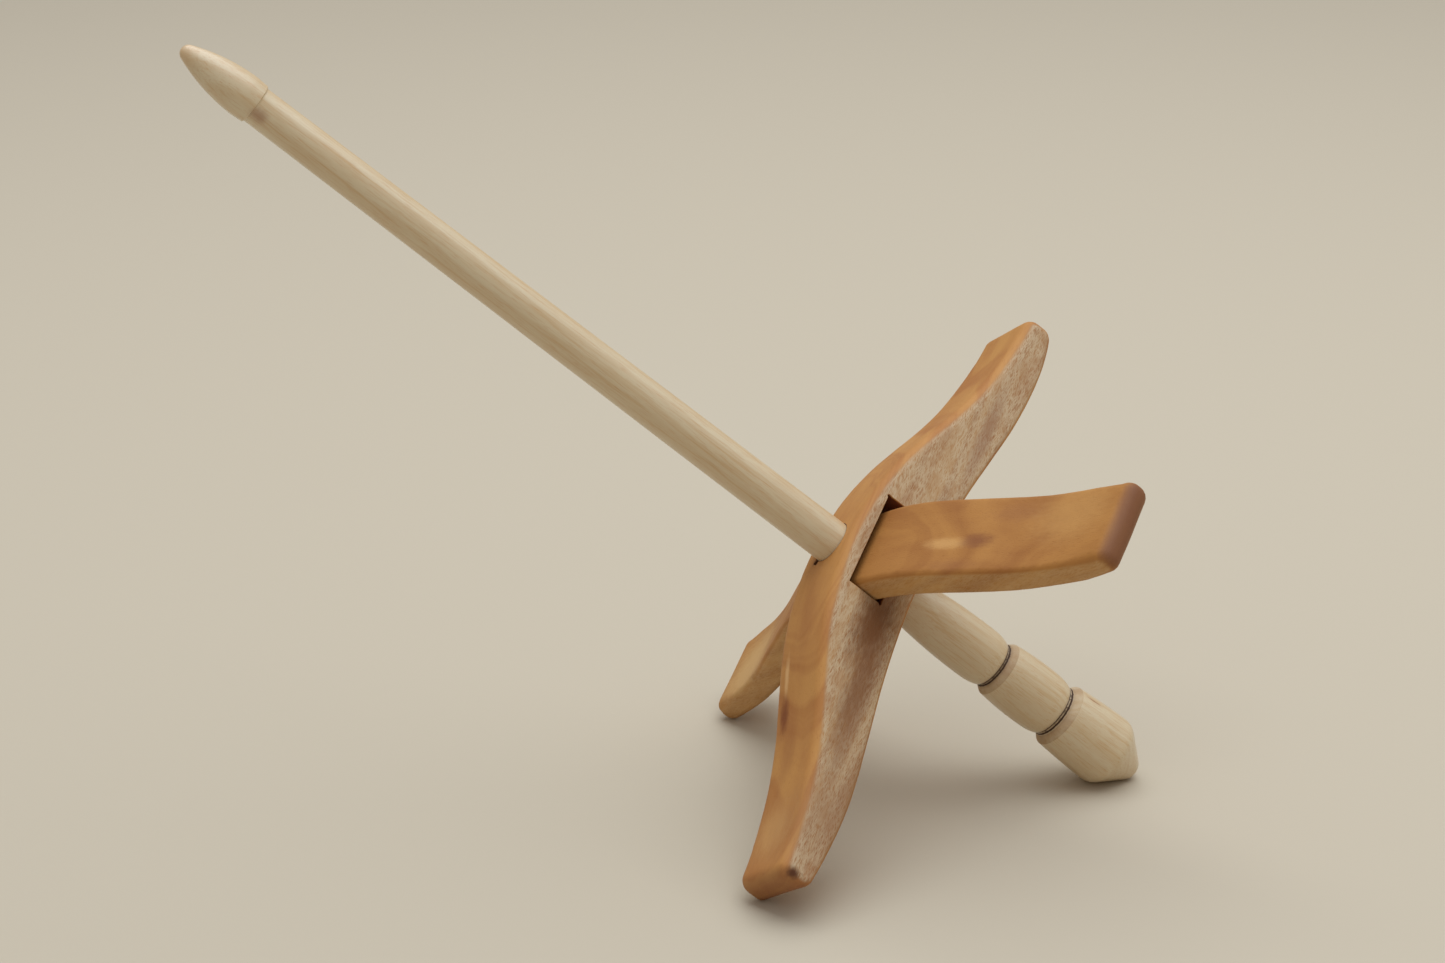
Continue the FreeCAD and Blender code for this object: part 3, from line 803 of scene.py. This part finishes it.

# An arm's figure: its growth bands, how strongly its sides show rays and the paler sawn wood (partly painted
# light), how dark the end grain is at the tip that rests and at the tip that is raised, and its marks under
# and over the rays, painted shade among them.
OUTER_FIGURE = {
    "bands": {"Pith": (4.0, 3.0, 88.0), "Spacing": 2.6, "Waver": 7.0, "Seed": 0.0},
    "rayed": 1.0, "sawn": 0.0, "end_grain": (0.4, 0.1),
    "knots": (
        ((-25.2, 3.9, 1.5), (5.4, 0.9, 6.0), 0.6, (0.78, 0.52, 0.26)),  # bright grain beside the pin knot
        ((-31.8, 3.9, -0.9), (5.0, 1.9, 6.0), 0.95, (0.22, 0.07, 0.024)),  # pin knot
        ((-38.0, 1.5, -3.0), (9.0, 3.4, 6.0), 0.4, (0.33, 0.13, 0.045)),  # its tail
        ((-16.0, -0.5, 4.5), (9.0, 4.0, 5.0), 0.4, (0.36, 0.145, 0.05)),  # darker wood near the hole
        ((-53.0, 1.0, -6.4), (8.0, 8.0, 6.0), 0.4, (0.68, 0.42, 0.17)),  # paler wood near the tip
    ),
    "stains_and_shade": (
        ((-62.5, 0.0, -15.0), (8.0, 14.0, 7.0), 0.7, (0.25, 0.085, 0.028)),  # resting tip
        ((-50.0, -7.5, -9.0), (14.0, 12.0, 6.0), 0.35, (0.30, 0.165, 0.085)),
        ((-61.4, -7.2, -9.3), (1.6, 1.6, 1.7), 1.0, (0.10, 0.036, 0.016)),  # dark spot on the tip's corner
        ((-13.0, -7.5, -4.0), (14.0, 12.0, 5.8), 0.92, (0.15, 0.055, 0.016)),  # darker wood and painted shadow of the inner arm, slot to tip
        # painted shadow of the inner arm, with darker wood, spreading along the near side
        ((-25.0, -7.5, -6.4), (17.0, 12.0, 4.2), 0.8, (0.20, 0.085, 0.034)),
        ((-35.0, -7.5, -8.0), (12.0, 12.0, 2.8), 0.5, (0.24, 0.11, 0.05)),
        ((-45.0, -7.5, -13.0), (20.0, 12.0, 4.0), 0.5, (0.27, 0.13, 0.06)),
        ((-3.5, 2.7, 6.3), (1.15, 1.15, 1.1), 1.0, (0.06, 0.016, 0.008)),  # painted shade inside the chip
        ((34.0, -7.5, -8.6), (16.0, 12.0, 2.4), 0.5, (0.27, 0.14, 0.085)),  # darker lower edge
        ((14.0, -7.5, -6.8), (9.0, 12.0, 1.8), 0.4, (0.28, 0.15, 0.09)),
    ),
}
INNER_FIGURE = {
    "bands": {"Pith": (0.0, -6.0, 74.0), "Spacing": 3.0, "Waver": 9.0, "Seed": 11.0},
    "rayed": 0.35, "sawn": 0.8, "end_grain": (0.1, 0.85),
    "knots": (
        ((24.6, -1.9, -1.5), (7.0, 1.9, 6.0), 0.5, (0.74, 0.44, 0.17)),  # bright grain before the pin knot
        ((30.2, -1.5, -4.0), (4.6, 2.4, 6.0), 0.8, (0.23, 0.08, 0.03)),  # pin knot
        ((36.0, 4.4, -6.5), (8.0, 3.0, 6.0), 0.42, (0.30, 0.12, 0.045)),  # grain bent round it
        ((26.5, -7.0, -3.0), (8.0, 2.2, 6.0), 0.38, (0.30, 0.12, 0.045)),
        ((47.0, 3.0, -10.0), (13.0, 9.0, 8.0), 0.36, (0.64, 0.37, 0.13)),  # paler wood towards the tips
        ((-46.0, -3.0, -10.0), (18.0, 14.0, 9.0), 0.65, (0.66, 0.45, 0.20)),
    ),
    "stains_and_shade": (),
}


def new_material(name):
    """A material with its node tree and its Principled BSDF."""
    material = bpy.data.materials.new(name)
    material.use_nodes = True
    tree = material.node_tree
    return material, tree, next(item for item in tree.nodes if item.type == "BSDF_PRINCIPLED")


def own_axes(tree):
    """The place in millimetres and the normal, both in the piece's own axes."""
    coordinates = tree.nodes.new("ShaderNodeTexCoord").outputs
    return scaled(tree, coordinates["Object"], (1 / MM, 1 / MM, 1 / MM)), coordinates["Normal"]


def marked(tree, place, colour, marks):
    """Lay soft marks over a colour."""
    for middle, half_size, strength, mark_colour in marks:
        mark = use_group(tree, "Soft Mark", Place=place, Middle=middle, Half_Size=half_size, Raggedness=0.5)
        colour = blend(tree, times(tree, mark["Mark"], strength), colour, mark_colour)
    return colour


def finish_wood(tree, shader, place, colour, lift, roughness, spread, relief, gloss):
    """Join the colour, roughness and relief of sanded wood to the shader."""
    surface = use_group(tree, "Sanded Surface", Place=place, Roughness=roughness, Spread=spread)
    height = calculate(tree, "ADD", surface["Height"], lift)
    bump = add_node(tree, "ShaderNodeBump", {"Height": height, "Strength": relief, "Distance": 0.1 * MM})
    tree.links.new(colour, shader.inputs["Base Color"])
    tree.links.new(surface["Roughness"], shader.inputs["Roughness"])
    tree.links.new(bump.outputs["Normal"], shader.inputs["Normal"])
    shader.inputs["IOR"].default_value = 1.45
    shader.inputs["Specular IOR Level"].default_value = gloss


def maple_material(settings):
    """Oiled maple with its grain up the shaft, bare of its gloss on the collars and burned rings."""
    material, tree, shader = new_material("Oiled Maple")
    place, _ = own_axes(tree)
    upright = tipped(tree, place, math.pi / 2)
    bands = use_group(tree, "Growth Bands", Place=upright, Pith=(0.0, 26.0, 9.0), Spacing=1.7,
                      Waver=3.5, Seed=4.0)
    pores = use_group(tree, "Pore Lines", Place=upright, Length=3.2, Width=0.1, Amount=0.45)["Lines"]
    streaks = use_group(tree, "Pore Lines", Place=upright, Length=12.0, Width=0.4, Amount=0.55)["Lines"]
    amount = calculate(tree, "MULTIPLY_ADD", bands["Bands"], 0.34, times(tree, bands["Cloud"], 0.22))
    amount = calculate(tree, "MULTIPLY_ADD", streaks, 0.3, amount, clamp=True)
    colour = blend(tree, amount, settings.pale_maple, settings.tan_maple)
    colour = blend(tree, times(tree, pores, 0.45), colour, MAPLE_PORES)

    height = axis_of(tree, place, "Z")
    wear = stretch(tree, bands["Cloud"], 0.0, 1.0, 0.3, 0.7)
    bare = []
    for top, bottom in COLLARS:
        below_top = stretch(tree, height, top, top - COLLAR_TOP_EDGE)
        above_bottom = stretch(tree, height, bottom - COLLAR_BOTTOM_EDGE, bottom + COLLAR_BOTTOM_EDGE)
        bare.append(times(tree, below_top, above_bottom))
        colour = blend(tree, times(tree, bare[-1], wear), colour, WORN_COLLAR)
    for start, full, strength, tint in END_TINTS:
        colour = blend(tree, stretch(tree, height, start, full, 0.0, strength), colour, tint)
    colour = marked(tree, place, colour, MAPLE_MARKS)
    for middle, half_width, ridge in BURNED_RINGS:
        burned = use_group(tree, "Burned Ring", Place=place, Height=middle, Half_Width=half_width,
                           Ridge=ridge)
        colour = blend(tree, burned["Scorch"], colour, SCORCH)
        colour = blend(tree, burned["Char"], colour, settings.char)
        bare.append(burned["Char"])
    bare = largest(tree, bare)
    lathe_lines = mottle(tree, height, 3.0, 3.2, shape="1D")
    lift = calculate(tree, "MULTIPLY_ADD", lathe_lines, 0.08, times(tree, pores, -0.4))
    roughness = calculate(tree, "MULTIPLY_ADD", bare, 0.35, 0.46)
    finish_wood(tree, shader, place, colour, lift, roughness, spread=0.16, relief=0.22, gloss=0.6)
    tree.links.new(calculate(tree, "MULTIPLY_ADD", bare, -COAT, COAT), shader.inputs["Coat Weight"])
    shader.inputs["Coat Roughness"].default_value = 0.38
    return material


def cherry_material(name, settings, figure, reach, walls):
    """Oiled cherry: growth bands, pores, ray flecks, pin knots, darker end grain at the tips, painted shade
    in the slot and the hole, and the painted light and shade that the figure gives.
    """
    material, tree, shader = new_material(name)
    place, normal = own_axes(tree)
    bands = use_group(tree, "Growth Bands", Place=place, **figure["bands"])
    pores = use_group(tree, "Pore Lines", Place=place, Length=2.6, Width=0.17, Amount=0.45)["Lines"]
    rays = use_group(tree, "Ray Flecks", Place=place, Normal=normal)
    amount = calculate(tree, "MULTIPLY_ADD", bands["Bands"], 0.5, times(tree, bands["Cloud"], 0.36))
    colour = blend(tree, amount, settings.honey, settings.russet)
    colour = blend(tree, times(tree, pores, 0.3), colour, settings.russet)
    colour = marked(tree, place, colour, figure["knots"])
    # The flat sides are lightened: paler sawn wood, and painted light for the brighter light falling on the
    # near side.
    if figure["sawn"]:
        sawn = blend(tree, amount, settings.sawn_side_and_painted_light, settings.honey)
        colour = blend(tree, times(tree, rays["Facing"], figure["sawn"]), colour, sawn)
    light = blend(tree, 0.55, settings.honey, RAYED_LIGHT)
    dark = blend(tree, 0.5, settings.russet, RAYED_DARK)
    rayed = blend(tree, times(tree, rays["Flecks"], 0.85), blend(tree, amount, light, dark), RAY_FLECK)
    colour = blend(tree, times(tree, rays["Facing"], figure["rayed"]), colour, rayed)
    # Stains, with painted shade and shadow, laid over the rays.
    colour = marked(tree, place, colour, figure["stains_and_shade"])

    endways, along = axis_of(tree, normal, "X"), axis_of(tree, place, "X")
    for way, depth in zip((-1.0, 1.0), figure["end_grain"]):
        at_tip = stretch(tree, times(tree, along, way), reach - END_GRAIN_START, reach - END_GRAIN_FULL)
        turned = stretch(tree, times(tree, endways, way), 0.15, 1.0)
        colour = blend(tree, times(tree, times(tree, turned, at_tip), depth), colour, END_GRAIN)
    # Painted shade: the walls deep inside the slot and the hole are darkened towards the shade colour.
    inside = use_group(tree, "Painted Cut Shade", Place=place, **walls)["Inside"]
    colour = blend(tree, times(tree, inside, 0.9), colour, PAINTED_CUT_SHADE)
    lift = calculate(tree, "MULTIPLY_ADD", rays["Flecks"], 0.35, times(tree, pores, -0.5))
    finish_wood(tree, shader, place, colour, lift, 0.58, spread=0.14, relief=0.4, gloss=0.28)
    return material


# --- pieces ---

class SPINDLE_OT_shaft(bpy.types.Operator):
    """Turn the maple shaft, with its bulb, hitch notch and ringed finial"""
    bl_idname = "spindle.shaft"
    bl_label = "Shaft"

    def execute(self, context):
        settings = context.scene.spindle_shaft
        data = turned_mesh("maple_shaft", shaft_profile(), settings.facets)
        place_piece(data, spindle_place(), "shaft", maple_material(settings))
        return {"FINISHED"}


class SPINDLE_OT_outer_arm(bpy.types.Operator):
    """Shape the deeper cherry arm and cut its slot and its hole"""
    bl_idname = "spindle.outer_arm"
    bl_label = "Outer Arm"

    def execute(self, context):
        settings = context.scene.spindle_outer_arm
        half, bore = settings.width / MM / 2, settings.bore / MM
        slot_length, slot_height = settings.slot_length / MM, settings.slot_height / MM
        slot = prism(slot_outline(slot_length, slot_height), mouth_layers(-half, half, SLOT_CHAMFER))
        on_side = Matrix.Rotation(math.pi / 2, 4, "X")
        chip = prism(CHIP_OUTLINE, CHIP_LAYERS)
        chip_place = (Matrix.Rotation(math.radians(CHIP_TURN), 4, "Z")
                      @ Matrix.Translation((CHIP_OUT * MM, 0, 0)))
        data = cut(arm_mesh("slotted_cherry_arm", OUTER, settings),
                   [(slot, on_side), (hole_cutter(OUTER, bore), Matrix()), (chip, chip_place)])
        walls = {"Half_Width": half, "Slot_Middle": SLOT_MIDDLE, "Slot_Half_Length": slot_length / 2,
                 "Slot_Half_Height": slot_height / 2, "Hole_Radius": bore}
        material = cherry_material("Oiled Cherry, Ray Flecked", settings, OUTER_FIGURE, OUTER["reach"], walls)
        quarter = Matrix.Rotation(math.pi / 2, 4, "Z")
        place_piece(data, spindle_place() @ quarter, "outer_arm", material)
        return {"FINISHED"}


class SPINDLE_OT_inner_arm(bpy.types.Operator):
    """Shape the thinner cherry arm and drill its hole"""
    bl_idname = "spindle.inner_arm"
    bl_label = "Inner Arm"

    def execute(self, context):
        settings = context.scene.spindle_inner_arm
        bore = settings.bore / MM
        data = cut(arm_mesh("plain_cherry_arm", INNER, settings), [(hole_cutter(INNER, bore), Matrix())])
        walls = {"Half_Width": settings.width / MM / 2, "Slot_Half_Length": NO_SLOT, "Hole_Radius": bore}
        material = cherry_material("Oiled Cherry", settings, INNER_FIGURE, INNER["reach"], walls)
        middle = Vector((0, 0, (INNER["top"][0] + INNER["bottom"][0]) / 2)) * MM
        rock = Matrix.Rotation(math.radians(INNER_ROCK), 4, "Y")
        rocked = Matrix.Translation(middle) @ rock @ Matrix.Translation(-middle)
        place_piece(data, spindle_place() @ rocked, "inner_arm", material)
        return {"FINISHED"}


# --- stage ---

# Places and sizes in metres, the camera's turn, height and lean in degrees.
FLOOR_HALF = 4.0
SOFT_BOX_SIZE = (1.3, 1.0)
SOFT_BOX_COLOUR = (0.97, 0.985, 1.0)
SOFT_BOX_PLACE = (0.14, 0.12, 0.95)
SOFT_BOX_AIM = (0.0, 0.0, 0.05)
HORIZON = (1.0, 0.70, 0.40)
OVERHEAD = (0.96, 1.0, 1.05)
OVERHEAD_FROM = 0.75
CAMERA_ANGLES = (4.9175, 20.2298, -0.9270)
CAMERA_DISTANCE = 0.550538
CAMERA_AIM = (0.0068373, 0.0072027, 0.0586632)


class SPINDLE_OT_stage(bpy.types.Operator):
    """Lay the floor and set the soft lights and the camera"""
    bl_idname = "spindle.stage"
    bl_label = "Stage"

    def execute(self, context):
        settings, scene = context.scene.spindle_stage, context.scene
        grid = bmesh.new()
        bmesh.ops.create_grid(grid, x_segments=1, y_segments=1, size=FLOOR_HALF)
        data = bpy.data.meshes.new("Floor")
        grid.to_mesh(data)
        grid.free()
        material, _, shader = new_material("Plain Pale Floor")
        shader.inputs["Base Color"].default_value = shaded(settings.floor)
        shader.inputs["Roughness"].default_value = 0.95
        shader.inputs["Specular IOR Level"].default_value = 0.1
        data.materials.append(material)
        floor = bpy.data.objects.new("Floor", data)

        lamp = bpy.data.lights.new("Soft Box", "AREA")
        lamp.shape = "RECTANGLE"
        lamp.size, lamp.size_y = SOFT_BOX_SIZE
        lamp.energy = settings.key_power
        lamp.color = SOFT_BOX_COLOUR
        soft_box = bpy.data.objects.new("Soft Box", lamp)
        soft_box.location = SOFT_BOX_PLACE
        aim = Vector(SOFT_BOX_AIM) - soft_box.location
        soft_box.rotation_euler = aim.to_track_quat("-Z", "Y").to_euler()

        world = bpy.data.worlds.new("Pale Room")
        world.use_nodes = True
        sky = next(item for item in world.node_tree.nodes if item.type == "BACKGROUND")
        world.node_tree.links.new(world_glow(world.node_tree), sky.inputs["Color"])
        sky.inputs["Strength"].default_value = settings.sky
        scene.world = world
        scene.view_settings.view_transform = "Standard"

        lens = bpy.data.cameras.new("Camera")
        lens.sensor_width = 36.0
        lens.lens = settings.lens
        lens.clip_start = 0.01
        camera = bpy.data.objects.new("Camera", lens)
        camera.matrix_world = camera_place()
        for item in (floor, soft_box, camera):
            scene.collection.objects.link(item)
        scene.camera = camera
        return {"FINISHED"}


def world_glow(tree):
    """Cool light from overhead, warmer towards the horizon."""
    direction = tree.nodes.new("ShaderNodeTexCoord").outputs["Generated"]
    upwards = stretch(tree, axis_of(tree, direction, "Z"), 0.0, OVERHEAD_FROM)
    return blend(tree, upwards, HORIZON, OVERHEAD)


def camera_place():
    """In front of the spindle and a little above it, leaning a touch to one side."""
    azimuth, elevation, roll = (math.radians(angle) for angle in CAMERA_ANGLES)
    forward = Vector((math.sin(azimuth) * math.cos(elevation), math.cos(azimuth) * math.cos(elevation),
                      -math.sin(elevation)))
    right = forward.cross(Vector((0, 0, 1))).normalized()
    up = right.cross(forward)
    rolled_right = right * math.cos(roll) + up * math.sin(roll)
    turned = Matrix((rolled_right, rolled_right.cross(forward), -forward)).transposed()
    return Matrix.Translation(Vector(CAMERA_AIM) - forward * CAMERA_DISTANCE) @ turned.to_4x4()


# --- panel and registration ---

class SPINDLE_PT_panel(bpy.types.Panel):
    bl_label = "Turkish Drop Spindle"
    bl_idname = "SPINDLE_PT_panel"
    bl_space_type = "VIEW_3D"
    bl_region_type = "UI"
    bl_category = "Spindle"

    def draw(self, context):
        for operator, holder, _ in PARTS:
            box = self.layout.box()
            box.operator(operator.bl_idname)
            settings = getattr(context.scene, holder)
            for prop in settings.bl_rna.properties:
                if prop.identifier not in ("name", "rna_type"):
                    box.prop(settings, prop.identifier)


PARTS = (
    (SPINDLE_OT_shaft, "spindle_shaft", ShaftSettings),
    (SPINDLE_OT_outer_arm, "spindle_outer_arm", OuterArmSettings),
    (SPINDLE_OT_inner_arm, "spindle_inner_arm", InnerArmSettings),
    (SPINDLE_OT_stage, "spindle_stage", StageSettings),
)


def register():
    for operator, holder, settings in PARTS:
        bpy.utils.register_class(settings)
        bpy.utils.register_class(operator)
        setattr(bpy.types.Scene, holder, PointerProperty(type=settings))
    bpy.utils.register_class(SPINDLE_PT_panel)


def unregister():
    bpy.utils.unregister_class(SPINDLE_PT_panel)
    for operator, holder, settings in reversed(PARTS):
        delattr(bpy.types.Scene, holder)
        bpy.utils.unregister_class(operator)
        bpy.utils.unregister_class(settings)


def main():
    register()
    bpy.ops.spindle.shaft()
    bpy.ops.spindle.outer_arm()
    bpy.ops.spindle.inner_arm()
    bpy.ops.spindle.stage()


if __name__ == "__main__":
    main()
